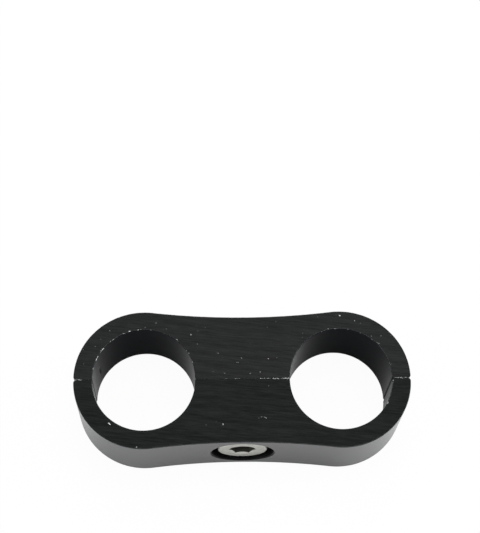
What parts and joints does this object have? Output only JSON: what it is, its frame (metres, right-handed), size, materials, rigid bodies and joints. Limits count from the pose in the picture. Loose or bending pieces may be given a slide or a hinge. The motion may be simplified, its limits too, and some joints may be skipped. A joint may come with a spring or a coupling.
{
  "type": "hydraulic tube clamp",
  "caption": "Split clamp with a waisted body that closes round parallel tubes or hoses, drawn together by a sunk socket head screw through its middle.",
  "frame": {"origin": "middle of the bottom face, on the surface that the clamp lies on", "axes": "+Z along the tube bores, +X from the left bore to the right bore, +Y along the screw from the front half to the rear half"},
  "size_m": [0.0572, 0.0242, 0.013],
  "materials": {
    "rear_half": "black anodised, smooth extruded sides and sawn faces",
    "front_half": "black anodised, smooth extruded sides and sawn faces",
    "clamp_screw": "plain steel, satin"
  },
  "bodies": {
    "rear_half": {"rear_half": "rear_half"},
    "front_half": {"front_half": "front_half"},
    "clamp_screw": {"clamp_screw": "clamp_screw"}
  },
  "joints": [
    {"name": "clamp_opening", "type": "slide", "parent": "rear_half", "child": "front_half", "axis": [0, -1, 0], "range_m": [0, 0.006]},
    {"name": "screw_turn", "type": "hinge", "parent": "front_half", "child": "clamp_screw", "pos_m": [0, -0.0107, 0.0065], "axis": [0, -1, 0], "range_deg": [0, 2700]}
  ],
  "couplings": [
    {"joint": "screw_turn", "follows": "clamp_opening", "rad_per_m": 7854}
  ]
}
